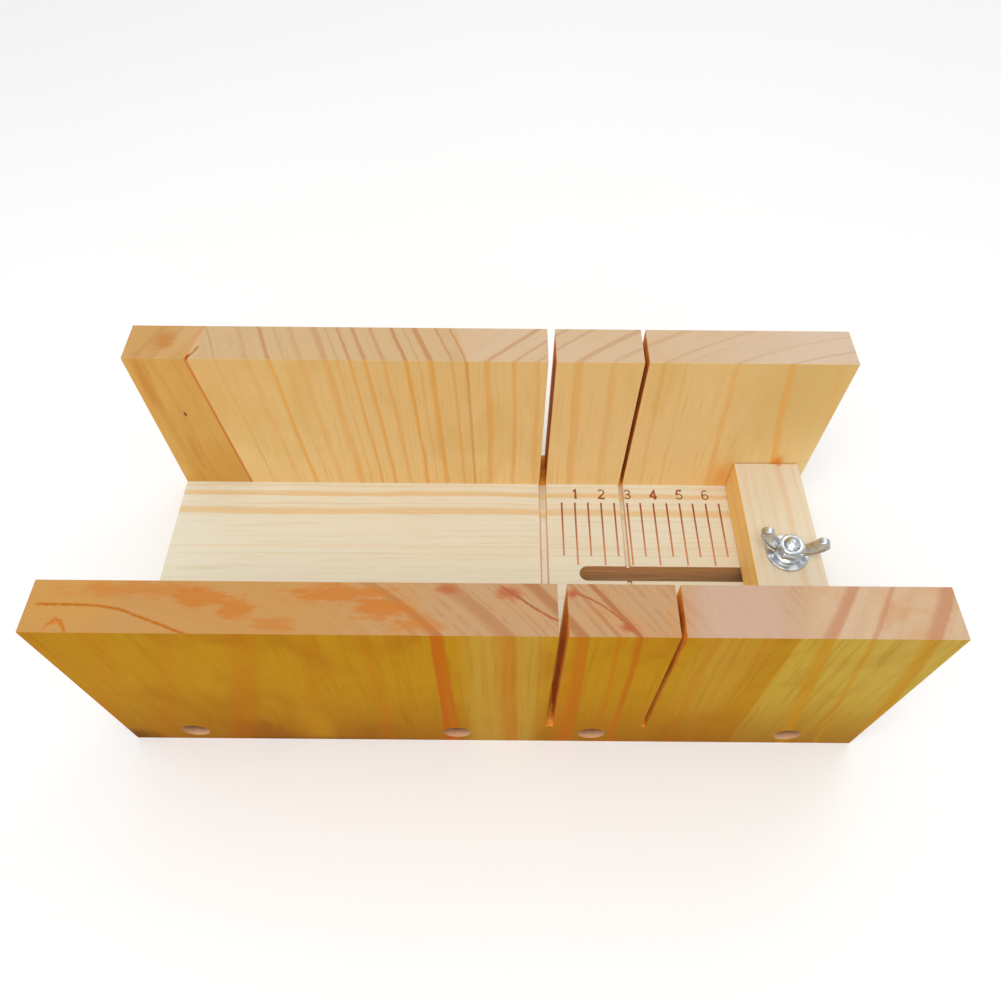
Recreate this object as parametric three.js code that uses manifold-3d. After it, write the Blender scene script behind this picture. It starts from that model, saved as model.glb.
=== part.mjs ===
// A wooden cutting box for soap loaves. Three boards make a channel, two saw slots guide the blade
// through both walls, and a stop block, held by a bolt and a wing nut, sets the slice's thickness.
// Millimetres. +X runs along the channel from its open end to the stop, +Y from the front wall to
// the rear wall, and +Z up. The origin is on the table, under the middle of the box.
import * as THREE from "three";
import { mergeVertices } from "three/addons/utils/BufferGeometryUtils.js";
import Module from "manifold-3d";

// Boards
const LENGTH = 240;
const SHORT_END = 4; // the rear wall and the base end this far before the front wall's right end
const CHANNEL_WIDTH = 80;
const WALL_THICKNESS = 15;
const WALL_HEIGHT = 83;
const BASE_THICKNESS = 16;

// Saw slots: each cuts both walls down to one level, a little below the base board's top
const SAW_SLOTS = [
  { centre: 17.8, width: 2.6 },
  { centre: 48.1, width: 1.5 },
];
const SAW_DEPTH_IN_BASE = 1;

// Ruler: ticks engraved in the base board, counted from a zero just right of the first saw slot
const RULER_ZERO = 20;
const TICK_STEP = 5;
const TICK_COUNT = 13;
const TICK_WIDTH = 0.65;
const TICK_DEPTH = 0.3;
const TICK_FAR_END = 31.5;
const LONG_TICK_NEAR_END = 4.2;
const SHORT_TICK_NEAR_END = 7.9;

// Clamp slot through the base board, wider underneath so that the bolt's head never meets the table
const SLOT_Y = 0.65;
const SLOT_WIDTH = 6;
const SLOT_LEFT = 30.3;
const SLOT_RIGHT = 106.7;
const RECESS_WIDTH = 15;
const RECESS_DEPTH = 4.5;

// Stop block
const STOP_X = 100.5;
const STOP_WIDTH = 23.7;
const STOP_HEIGHT = 15;
const STOP_SIDE_PLAY = 0.3;
const SLIDING_PLAY = 0.1;

// Clamp: an M5 carriage bolt, a plain washer and a wing nut
const BOLT_DIAMETER = 5;
const BOLT_LENGTH = 35;
const BOLT_HEAD_DIAMETER = 12;
const BOLT_HEAD_HEIGHT = 2.7;
const BOLT_NECK_HEIGHT = 3;
const BOLT_CLEARANCE = 0.3;
const WASHER_DIAMETER = 14.4;
const WASHER_THICKNESS = 1;
const NUT_TURN = THREE.MathUtils.degToRad(-13);
const NUT_FLANGE_DIAMETER = 10;
const NUT_HUB_HEIGHT = 5.4;
const WING_THICKNESS = 2.6;
const WING_REACH = 11.3;
const WING_HEIGHT = 11;

// Wood screws through the walls into the base board's edges, with their heads sunk in counterbores
const SCREW_XS = [-98, -12, 32, 96.5];
const SCREW_Z = BASE_THICKNESS / 2;
const SCREW_LENGTH = 30;
const SCREW_DIAMETER = 4;
const SCREW_HEAD_DIAMETER = 8;
const SCREW_HEAD_HEIGHT = 2.2;
const SCREW_POINT = 5;
const COUNTERBORE_DIAMETER = 9;
const COUNTERBORE_DEPTH = 5;
const SCREW_CLEARANCE = 0.3;

// Overshoot of a cutting tool past the face that it opens
const OVER = 1;
const ROUND_SEGMENTS = 32;

const wasm = await Module();
wasm.setup();

const LEFT = -LENGTH / 2;
const RIGHT = LENGTH / 2;
const SHORT_RIGHT = RIGHT - SHORT_END;
const INNER_Y = CHANNEL_WIDTH / 2;
const OUTER_Y = INNER_Y + WALL_THICKNESS;
const STOP_BOTTOM = BASE_THICKNESS + SLIDING_PLAY;
const STOP_TOP = BASE_THICKNESS + STOP_HEIGHT;

const wallWood = new THREE.MeshStandardMaterial({ color: 0xcfa06a, roughness: 0.65, metalness: 0 });
const baseWood = new THREE.MeshStandardMaterial({ color: 0xe4d4b8, roughness: 0.7, metalness: 0 });
const stopWood = new THREE.MeshStandardMaterial({ color: 0xe0cba6, roughness: 0.7, metalness: 0 });
const zinc = new THREE.MeshStandardMaterial({ color: 0xc8ccd0, roughness: 0.3, metalness: 1 });
const screwSteel = new THREE.MeshStandardMaterial({ color: 0x9a8a66, roughness: 0.4, metalness: 1 });

// Only the positions are kept, so that the corners that faces share are merged.
function solid(geometry) {
  const bare = new THREE.BufferGeometry();
  bare.setAttribute("position", geometry.getAttribute("position"));
  bare.setIndex(geometry.index);
  const merged = mergeVertices(bare, 1e-4);
  const mesh = new wasm.Mesh({
    numProp: 3,
    vertProperties: merged.getAttribute("position").array,
    triVerts: new Uint32Array(merged.index.array),
  });
  return new wasm.Manifold(mesh);
}

function cut(geometry, tools) {
  return tools.reduce((body, tool) => body.subtract(solid(tool)), solid(geometry));
}

function meshOf(body, name, material) {
  const { vertProperties, triVerts } = body.getMesh();
  const indexed = new THREE.BufferGeometry();
  indexed.setAttribute("position", new THREE.BufferAttribute(vertProperties, 3));
  indexed.setIndex(new THREE.BufferAttribute(triVerts, 1));
  const geometry = indexed.toNonIndexed();
  geometry.computeVertexNormals();
  const mesh = new THREE.Mesh(geometry, material);
  mesh.name = name;
  return mesh;
}

function boxBetween([x0, y0, z0], [x1, y1, z1]) {
  const box = new THREE.BoxGeometry(x1 - x0, y1 - y0, z1 - z0);
  return box.translate((x0 + x1) / 2, (y0 + y1) / 2, (z0 + z1) / 2);
}

// A profile of [radius, height] points, from the bottom up, turned about +Z.
function turned(profile) {
  const points = profile.map(([radius, height]) => new THREE.Vector2(radius, height));
  return new THREE.LatheGeometry(points, ROUND_SEGMENTS).rotateX(Math.PI / 2);
}

// A slot with round ends along X, from z0 up to z1, its centre line at y = 0.
function roundEndedSlot(left, right, width, z0, z1) {
  const radius = width / 2;
  const outline = new THREE.Shape();
  outline.absarc(right - radius, 0, radius, -Math.PI / 2, Math.PI / 2, false);
  outline.absarc(left + radius, 0, radius, Math.PI / 2, (3 * Math.PI) / 2, false);
  const settings = { depth: z1 - z0, bevelEnabled: false, curveSegments: 12 };
  return new THREE.ExtrudeGeometry(outline, settings).translate(0, 0, z0);
}

// One blade's path: through both walls and a little into the base board.
function sawCuts() {
  return SAW_SLOTS.map(({ centre, width }) =>
    boxBetween(
      [centre - width / 2, -OUTER_Y - OVER, BASE_THICKNESS - SAW_DEPTH_IN_BASE],
      [centre + width / 2, OUTER_Y + OVER, WALL_HEIGHT + OVER],
    ),
  );
}

// The screw, head outwards: heights are depths below the wall's outer face, taken downwards.
const SCREW_PROFILE = (() => {
  const head = SCREW_HEAD_DIAMETER / 2;
  const shank = SCREW_DIAMETER / 2;
  const top = -COUNTERBORE_DEPTH;
  return [
    [0, top - SCREW_LENGTH],
    [shank, top - SCREW_LENGTH + SCREW_POINT],
    [shank, top - SCREW_HEAD_HEIGHT],
    [head, top],
    [0, top],
  ];
})();

// The hole for it: counterbore, countersink and shank, all wider than the screw by its clearance.
const SCREW_HOLE_PROFILE = (() => {
  const shank = SCREW_DIAMETER / 2 + SCREW_CLEARANCE;
  const head = SCREW_HEAD_DIAMETER / 2 + SCREW_CLEARANCE;
  const bottom = -COUNTERBORE_DEPTH - SCREW_LENGTH - SCREW_CLEARANCE;
  return [
    [0, bottom],
    [shank, bottom],
    [shank, -COUNTERBORE_DEPTH - SCREW_HEAD_HEIGHT - SCREW_CLEARANCE],
    [head, -COUNTERBORE_DEPTH - SCREW_CLEARANCE],
    [COUNTERBORE_DIAMETER / 2, -COUNTERBORE_DEPTH - SCREW_CLEARANCE],
    [COUNTERBORE_DIAMETER / 2, OVER],
    [0, OVER],
  ];
})();

// side is -1 at the front wall and 1 at the rear wall.
function atScrew(profile, x, side) {
  const pointing = turned(profile).rotateX((-side * Math.PI) / 2);
  return pointing.translate(x, side * OUTER_Y, SCREW_Z);
}

function screwHoles(side) {
  return SCREW_XS.map((x) => atScrew(SCREW_HOLE_PROFILE, x, side));
}

function wall(name, side, right) {
  const inner = side * INNER_Y;
  const outer = side * OUTER_Y;
  const board = boxBetween(
    [LEFT, Math.min(inner, outer), 0],
    [right, Math.max(inner, outer), WALL_HEIGHT],
  );
  return meshOf(cut(board, [...sawCuts(), ...screwHoles(side)]), name, wallWood);
}

function rulerTicks() {
  return Array.from({ length: TICK_COUNT }, (_, i) => {
    const x = RULER_ZERO + (i + 1) * TICK_STEP;
    const wholeCentimetre = i % 2 === 1;
    const nearEnd = wholeCentimetre ? LONG_TICK_NEAR_END : SHORT_TICK_NEAR_END;
    return boxBetween(
      [x - TICK_WIDTH / 2, nearEnd, BASE_THICKNESS - TICK_DEPTH],
      [x + TICK_WIDTH / 2, TICK_FAR_END, BASE_THICKNESS + OVER],
    );
  });
}

function baseBoard() {
  const board = boxBetween([LEFT, -INNER_Y, 0], [SHORT_RIGHT, INNER_Y, BASE_THICKNESS]);
  const slot = roundEndedSlot(SLOT_LEFT, SLOT_RIGHT, SLOT_WIDTH, -OVER, BASE_THICKNESS + OVER);
  const step = (RECESS_WIDTH - SLOT_WIDTH) / 2;
  const recess = roundEndedSlot(SLOT_LEFT - step, SLOT_RIGHT + step, RECESS_WIDTH, -OVER, RECESS_DEPTH);
  const tools = [
    slot.translate(0, SLOT_Y, 0),
    recess.translate(0, SLOT_Y, 0),
    ...sawCuts(),
    ...rulerTicks(),
    ...screwHoles(-1),
    ...screwHoles(1),
  ];
  return meshOf(cut(board, tools), "base_board", baseWood);
}

function screws(sideName, side) {
  return SCREW_XS.map((x, i) =>
    meshOf(solid(atScrew(SCREW_PROFILE, x, side)), `${sideName}_screw_${i + 1}`, screwSteel),
  );
}

// The clamp's pieces share the bolt's axis, which is this group's own +Z.
function stopBlock() {
  const half = STOP_WIDTH / 2;
  const reach = INNER_Y - STOP_SIDE_PLAY;
  const block = boxBetween([-half, -reach - SLOT_Y, STOP_BOTTOM], [half, reach - SLOT_Y, STOP_TOP]);
  const holeRadius = BOLT_DIAMETER / 2 + BOLT_CLEARANCE;
  const hole = turned([
    [0, STOP_BOTTOM - OVER],
    [holeRadius, STOP_BOTTOM - OVER],
    [holeRadius, STOP_TOP + OVER],
    [0, STOP_TOP + OVER],
  ]);
  return meshOf(cut(block, [hole]), "stop_block", stopWood);
}

// A carriage bolt: a domed head below, a square neck that the slot keeps from turning, and a shank.
function clampBolt() {
  const underHead = RECESS_DEPTH - SLIDING_PLAY;
  const radius = BOLT_DIAMETER / 2;
  const tip = underHead + BOLT_LENGTH;
  const dome = 6;
  const profile = [];
  for (let i = 0; i < dome; i += 1) {
    const angle = (i / dome) * (Math.PI / 2);
    const rimHeight = underHead - BOLT_HEAD_HEIGHT * Math.cos(angle);
    profile.push([(BOLT_HEAD_DIAMETER / 2) * Math.sin(angle), rimHeight]);
  }
  profile.push([BOLT_HEAD_DIAMETER / 2, underHead], [radius, underHead]);
  profile.push([radius, tip - 1], [radius - 0.8, tip - 0.2], [0, tip]);
  const neck = boxBetween([-radius, -radius, underHead - 1], [radius, radius, underHead + BOLT_NECK_HEIGHT]);
  return meshOf(solid(turned(profile)).add(solid(neck)), "clamp_bolt", zinc);
}

function washer() {
  const bore = BOLT_DIAMETER / 2 + BOLT_CLEARANCE;
  const rim = WASHER_DIAMETER / 2;
  const top = STOP_TOP + WASHER_THICKNESS;
  const ring = turned([
    [bore, STOP_TOP],
    [rim, STOP_TOP],
    [rim, top],
    [bore, top],
    [bore, STOP_TOP],
  ]);
  return meshOf(solid(ring), "washer", zinc);
}

// One wing stands in the XZ plane: it leaves the hub low, sweeps up and out, and ends in a round tip.
function wing() {
  const root = BOLT_DIAMETER / 2 + 1;
  const tip = WING_REACH - 2.6;
  const outline = new THREE.Shape();
  outline.moveTo(root, 0.8);
  outline.bezierCurveTo(7.2, 0.9, 9.6, 3.4, WING_REACH, WING_HEIGHT - 3);
  outline.absarc(tip, WING_HEIGHT - 2.6, 2.6, 0, Math.PI * 0.8, false);
  outline.bezierCurveTo(5.8, 6.6, 5.2, 5.2, root, NUT_HUB_HEIGHT - 1.2);
  const settings = { depth: WING_THICKNESS, bevelEnabled: false, curveSegments: 10 };
  return new THREE.ExtrudeGeometry(outline, settings)
    .translate(0, 0, -WING_THICKNESS / 2)
    .rotateX(Math.PI / 2);
}

function wingNut() {
  const bore = BOLT_DIAMETER / 2 + BOLT_CLEARANCE;
  const flange = NUT_FLANGE_DIAMETER / 2;
  const hub = turned([
    [bore, 0],
    [flange, 0],
    [flange, 1.1],
    [flange - 0.9, 1.5],
    [flange - 0.6, NUT_HUB_HEIGHT],
    [bore, NUT_HUB_HEIGHT],
    [bore, 0],
  ]);
  const wings = [wing(), wing().rotateZ(Math.PI)];
  const body = wings.reduce((nut, one) => nut.add(solid(one)), solid(hub));
  return meshOf(body, "wing_nut", zinc);
}

const cuttingBox = new THREE.Group();
cuttingBox.add(baseBoard(), wall("front_wall", -1, RIGHT), wall("rear_wall", 1, SHORT_RIGHT));
cuttingBox.add(...screws("front", -1), ...screws("rear", 1));

const stop = new THREE.Group();
stop.position.set(STOP_X, SLOT_Y, 0);
const nut = wingNut();
nut.position.z = STOP_TOP + WASHER_THICKNESS;
nut.rotation.z = NUT_TURN;
stop.add(stopBlock(), clampBolt(), washer(), nut);
cuttingBox.add(stop);

export default cuttingBox;
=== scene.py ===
"""A wooden cutting box for soap loaves: glued pine boards with saw slots, an engraved centimetre
ruler, and a stop block held by a carriage bolt and a wing nut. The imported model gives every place;
this script gives the boards their eased edges, growth rings, burnt saw cuts and engraving, and the
fasteners their threads, drives and cast shapes. Metres, +Z up."""

import math
from collections import namedtuple

import bmesh
import bpy
from mathutils import Matrix, Vector


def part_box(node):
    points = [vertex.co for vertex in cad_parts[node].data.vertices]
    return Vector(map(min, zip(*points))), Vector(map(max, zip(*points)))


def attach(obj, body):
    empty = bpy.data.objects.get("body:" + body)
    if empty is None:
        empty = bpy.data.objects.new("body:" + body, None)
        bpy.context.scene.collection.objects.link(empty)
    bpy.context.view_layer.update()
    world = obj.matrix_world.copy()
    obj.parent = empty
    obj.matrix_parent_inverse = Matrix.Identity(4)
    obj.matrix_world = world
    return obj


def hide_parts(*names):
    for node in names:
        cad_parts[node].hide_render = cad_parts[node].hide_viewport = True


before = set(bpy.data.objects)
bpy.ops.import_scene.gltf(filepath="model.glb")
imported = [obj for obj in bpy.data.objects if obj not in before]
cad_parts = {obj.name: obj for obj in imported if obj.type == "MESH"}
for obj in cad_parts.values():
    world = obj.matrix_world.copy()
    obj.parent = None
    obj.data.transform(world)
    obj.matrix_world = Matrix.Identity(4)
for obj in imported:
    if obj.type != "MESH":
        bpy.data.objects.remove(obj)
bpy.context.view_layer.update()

MM = 0.001

# The frame's own sizes
BASE_LOW, BASE_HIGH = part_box("base_board")
FRONT_LOW, FRONT_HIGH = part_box("front_wall")
REAR_LOW, REAR_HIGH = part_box("rear_wall")
STOP_LOW, STOP_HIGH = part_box("stop_block")
BOLT_LOW, BOLT_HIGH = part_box("clamp_bolt")
WASHER_LOW, WASHER_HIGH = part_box("washer")
NUT_LOW, NUT_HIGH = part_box("wing_nut")
BED = BASE_HIGH.z
OUTER_FACE = REAR_HIGH.y
CLAMP_X = (BOLT_LOW.x + BOLT_HIGH.x) / 2
CLAMP_Y = (BOLT_LOW.y + BOLT_HIGH.y) / 2
SCREW_HEIGHT = (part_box("front_screw_1")[0].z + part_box("front_screw_1")[1].z) / 2

# Saw slots: (centre, width) along X, as in the model
SAW_SLOTS = [(17.8 * MM, 2.6 * MM), (48.1 * MM, 1.5 * MM)]
SAW_FLOOR = BED - 1.0 * MM

# Ruler, as in the model: ticks over the whole and half centimetres, and numerals beside them
RULER_ZERO = 20 * MM
RULER_NEAR = 4.1 * MM
RULER_FAR = 39 * MM
CENTIMETRE = 10 * MM
ENGRAVING_DEPTH = 0.3 * MM
DIGIT_HEIGHT = 4.6 * MM
DIGIT_BOTTOM = 33.2 * MM
DIGIT_STROKE = 0.5 * MM
DIGIT_SHIFT = 0.3 * MM
RULER_DEEPEST = 0.6 * MM

# Bounds that hold the clamp slot's cut faces, and the faces inside a wall's screw holes
CLAMP_SLOT_REACH = (25 * MM, 112 * MM)
CLAMP_SLOT_SIDE = 8 * MM
SCREW_HOLE_REACH = 6 * MM
END_MARGIN = 5 * MM

EDGE_EASE = 0.4 * MM
BASE_EDGE_EASE = 0.25 * MM
CRACK_DEPTH = 1.2 * MM
FLAT_ANGLE = math.radians(1)
SHARP_ANGLE = math.radians(30)


# ---------------------------------------------------------------- shader graphs


def srgb(red, green, blue):
    """A colour as it looks on a screen, 0 to 255, as the linear colour that a shader takes."""

    def linear(value):
        value /= 255
        return value / 12.92 if value <= 0.04045 else ((value + 0.055) / 1.055) ** 2.4

    return (linear(red), linear(green), linear(blue), 1.0)


class Graph:
    """A material whose nodes are written as expressions."""

    def __init__(self, name):
        self.material = bpy.data.materials.new(name)
        self.material.use_nodes = True
        self.tree = self.material.node_tree
        self.tree.nodes.clear()
        self.shader = self.node("ShaderNodeBsdfPrincipled")
        output = self.node("ShaderNodeOutputMaterial")
        self.tree.links.new(self.shader.outputs["BSDF"], output.inputs["Surface"])

    def node(self, kind, **settings):
        made = self.tree.nodes.new(kind)
        for key, value in settings.items():
            setattr(made, key, value)
        return made

    def feed(self, socket, value):
        if isinstance(value, bpy.types.NodeSocket):
            self.tree.links.new(value, socket)
        else:
            socket.default_value = value

    def math(self, operation, *values, clamp=False):
        made = self.node("ShaderNodeMath", operation=operation, use_clamp=clamp)
        for socket, value in zip(made.inputs, values):
            self.feed(socket, value)
        return made.outputs[0]

    def mix(self, factor, first, second):
        made = self.node("ShaderNodeMix", data_type="RGBA")
        for index, value in ((0, factor), (6, first), (7, second)):
            self.feed(made.inputs[index], value)
        return made.outputs[2]

    def vector(self, x, y, z):
        made = self.node("ShaderNodeCombineXYZ")
        for socket, value in zip(made.inputs, (x, y, z)):
            self.feed(socket, value)
        return made.outputs[0]

    def scaled(self, places, scales):
        """The places stretched along each axis: a small scale draws the pattern out along it."""
        return self.vector(*(self.math("MULTIPLY", p, s) for p, s in zip(places, scales)))

    def noise(self, vector, detail=2.0, roughness=0.5, distortion=0.0):
        made = self.node("ShaderNodeTexNoise")
        self.feed(made.inputs["Vector"], vector)
        for key, value in (("Scale", 1.0), ("Detail", detail), ("Roughness", roughness)):
            made.inputs[key].default_value = value
        made.inputs["Distortion"].default_value = distortion
        return made.outputs["Fac"]

    def ramp(self, value, stops, interpolation="LINEAR"):
        """A grey ramp through (place, level) stops, whatever range the places span."""
        low, high = stops[0][0], stops[-1][0]
        made = self.node("ShaderNodeValToRGB")
        made.color_ramp.interpolation = interpolation
        elements = made.color_ramp.elements
        for _ in range(len(stops) - len(elements)):
            elements.new(0.5)
        for element, (place, level) in zip(elements, stops):
            element.position = (place - low) / (high - low)
            element.color = (level, level, level, 1.0)
        span = self.math("DIVIDE", self.math("SUBTRACT", value, low), high - low)
        self.feed(made.inputs["Fac"], span)
        return made.outputs["Color"]

    def curve(self, value, points):
        """The level of a smooth line through (place, level) points, at a place."""
        levels = [level for _, level in points]
        low, spread = min(levels), max(levels) - min(levels)
        if spread == 0:
            return low
        shape = self.ramp(value, [(place, (level - low) / spread) for place, level in points], "B_SPLINE")
        return self.math("MULTIPLY_ADD", shape, spread, low)

    def step(self, value, low, high):
        """0 below low, 1 above high, smooth between. With low above high it falls instead."""
        made = self.node("ShaderNodeMapRange", interpolation_type="SMOOTHSTEP")
        self.feed(made.inputs["Value"], value)
        rising = high > low
        made.inputs["From Min"].default_value = min(low, high)
        made.inputs["From Max"].default_value = max(low, high)
        made.inputs["To Min"].default_value = 0.0 if rising else 1.0
        made.inputs["To Max"].default_value = 1.0 if rising else 0.0
        return made.outputs["Result"]

    def places(self):
        """x, y and z on the object, in millimetres."""
        made = self.node("ShaderNodeSeparateXYZ")
        self.tree.links.new(self.node("ShaderNodeTexCoord").outputs["Object"], made.inputs[0])
        return [self.math("MULTIPLY", axis, 1000.0) for axis in made.outputs]

    def bump(self, height, distance, strength=1.0):
        made = self.node("ShaderNodeBump")
        made.inputs["Strength"].default_value = strength
        made.inputs["Distance"].default_value = distance
        self.feed(made.inputs["Height"], height)
        self.feed(self.shader.inputs["Normal"], made.outputs["Normal"])

    def finish(self, colour, roughness, **constants):
        self.feed(self.shader.inputs["Base Color"], colour)
        self.feed(self.shader.inputs["Roughness"], roughness)
        for key, value in constants.items():
            self.shader.inputs[key.replace("_", " ")].default_value = value
        return self.material


# ---------------------------------------------------------------- wood

# One glued stave of a board, in millimetres. Across runs over the board's face, through is its
# thickness, and along is its grain, counted from one end. starts is (across at the reference face,
# shift per mm through, shift per mm along) of its left joint. pith is (across, through) of the
# tree's centre. rings are (across at the reference face, width, strength). lean is a line of
# (across, shift per mm along). fine is (spacing, strength) of the faint rings between. glue is how
# dark its left joint shows, and blend how far the end grain's colours run together over it.
Stave = namedtuple("Stave", "starts pith rings lean fine side side_late end end_late glue blend")
GLUE_BROWN = srgb(214, 118, 36)

# How a board's wood varies apart from its rings. blotch_scale is per mm. edge is the painted highlight on the
# eased edges.
Look = namedtuple("Look", "blotch_scale blotch_side blotch_end streak pore edge specular")

# A patch of stain, painted shade or painted light on the "side" or "end" grain, or on "both". centre and
# reach are (across, through, along), and a reach of None has no limit. ragged is how far its edge wanders, as
# a part of its reach.
StainAndPaintedLight = namedtuple("StainAndPaintedLight", "where centre reach ragged softness strength colour")

# A thin dark line over the end grain, through (across, through) points
Line = namedtuple("Line", "points width colour")

RINGS_PER_RAMP = 7


def ring_stops(stave, reference, rings):
    """Ramp stops over the radius: each ring darkens slowly and ends sharply, away from the pith."""
    bands = []
    for across, width, strength in rings:
        reach = across - stave.pith[0]
        radius = math.hypot(reach, reference - stave.pith[1])
        width = max(width * abs(reach) / radius, 0.3)
        bands.append((radius, width, strength))
    bands.sort()
    line = [(bands[0][0] - bands[0][1] - 1.0, 0.0)]
    for radius, width, strength in bands:
        for place, level in ((-0.6, 0), (-0.05, strength), (0.3, strength), (0.55, 0)):
            line.append((max(radius + place * width, line[-1][0] + 0.02), level))
    return line


def growth_rings(g, stave, reference, across, through, along):
    """Late wood, 0 to 1, where the cut face meets the stave's growth rings: strong, then faint."""
    slow = g.noise(g.scaled((across, through, along), (0.03, 0.03, 0.022)), 1.0)
    quick = g.noise(g.scaled((across, through, along), (0.35, 0.35, 0.09)), 2.0)
    shift = g.math("MULTIPLY", along, g.curve(across, stave.lean))
    shift = g.math("MULTIPLY_ADD", g.math("SUBTRACT", slow, 0.5), 2.4, shift)
    shift = g.math("MULTIPLY_ADD", g.math("SUBTRACT", quick, 0.5), 0.9, shift)
    sideways = g.math("SUBTRACT", g.math("SUBTRACT", across, shift), stave.pith[0])
    inwards = g.math("SUBTRACT", through, stave.pith[1])
    squares = g.math("MULTIPLY_ADD", sideways, sideways, g.math("MULTIPLY", inwards, inwards))
    radius = g.math("SQRT", squares)
    spacing, strength = stave.fine
    drift = g.noise(g.vector(g.math("MULTIPLY", radius, 0.11), 0.0, 0.0), 3.0)
    patchy = g.noise(g.scaled((across, through, along), (0.25, 0.12, 0.03)), 2.0)
    phase = g.math("MULTIPLY_ADD", radius, math.tau / spacing, g.math("MULTIPLY", drift, 30.0))
    wave = g.math("MULTIPLY_ADD", g.math("SINE", phase), 0.5, 0.5)
    wave = g.math("MULTIPLY", g.math("POWER", wave, 3.0), g.step(patchy, 0.3, 0.65))
    strong = 0.0
    rings = sorted(stave.rings)
    for first in range(0, len(rings), RINGS_PER_RAMP):
        group = rings[first : first + RINGS_PER_RAMP]
        level = g.ramp(radius, ring_stops(stave, reference, group), "EASE")
        strong = g.math("MAXIMUM", strong, level)
    return strong, g.math("MULTIPLY", wave, strength)


def stain_or_light_mask(g, places, wobble, stain_or_light):
    """How much of the patch shows at a place: an ellipsoid with a wandering edge."""
    squares = 0.0
    for place, centre, reach in zip(places, stain_or_light.centre, stain_or_light.reach):
        if reach is not None:
            offset = g.math("DIVIDE", g.math("SUBTRACT", place, centre), reach)
            squares = g.math("MULTIPLY_ADD", offset, offset, squares)
    distance = g.math("SQRT", squares)
    distance = g.math("MULTIPLY_ADD", g.math("SUBTRACT", wobble, 0.5), stain_or_light.ragged, distance)
    return g.math("MULTIPLY", g.step(distance, 1.0, 1.0 - stain_or_light.softness), stain_or_light.strength)


def line_mask(g, across, through, wobble, line):
    """How much of the line shows at a place, fading in and out at its ends."""
    path = g.curve(across, line.points)
    gap = g.math("ABSOLUTE", g.math("SUBTRACT", through, path))
    gap = g.math("MULTIPLY_ADD", g.math("SUBTRACT", wobble, 0.5), line.width * 1.5, gap)
    first, last = line.points[0][0], line.points[-1][0]
    inside = g.math("MULTIPLY", g.step(across, first, first + 3), g.step(across, last, last - 1))
    return g.math("MULTIPLY", g.step(gap, line.width, line.width * 0.3), inside)


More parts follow.
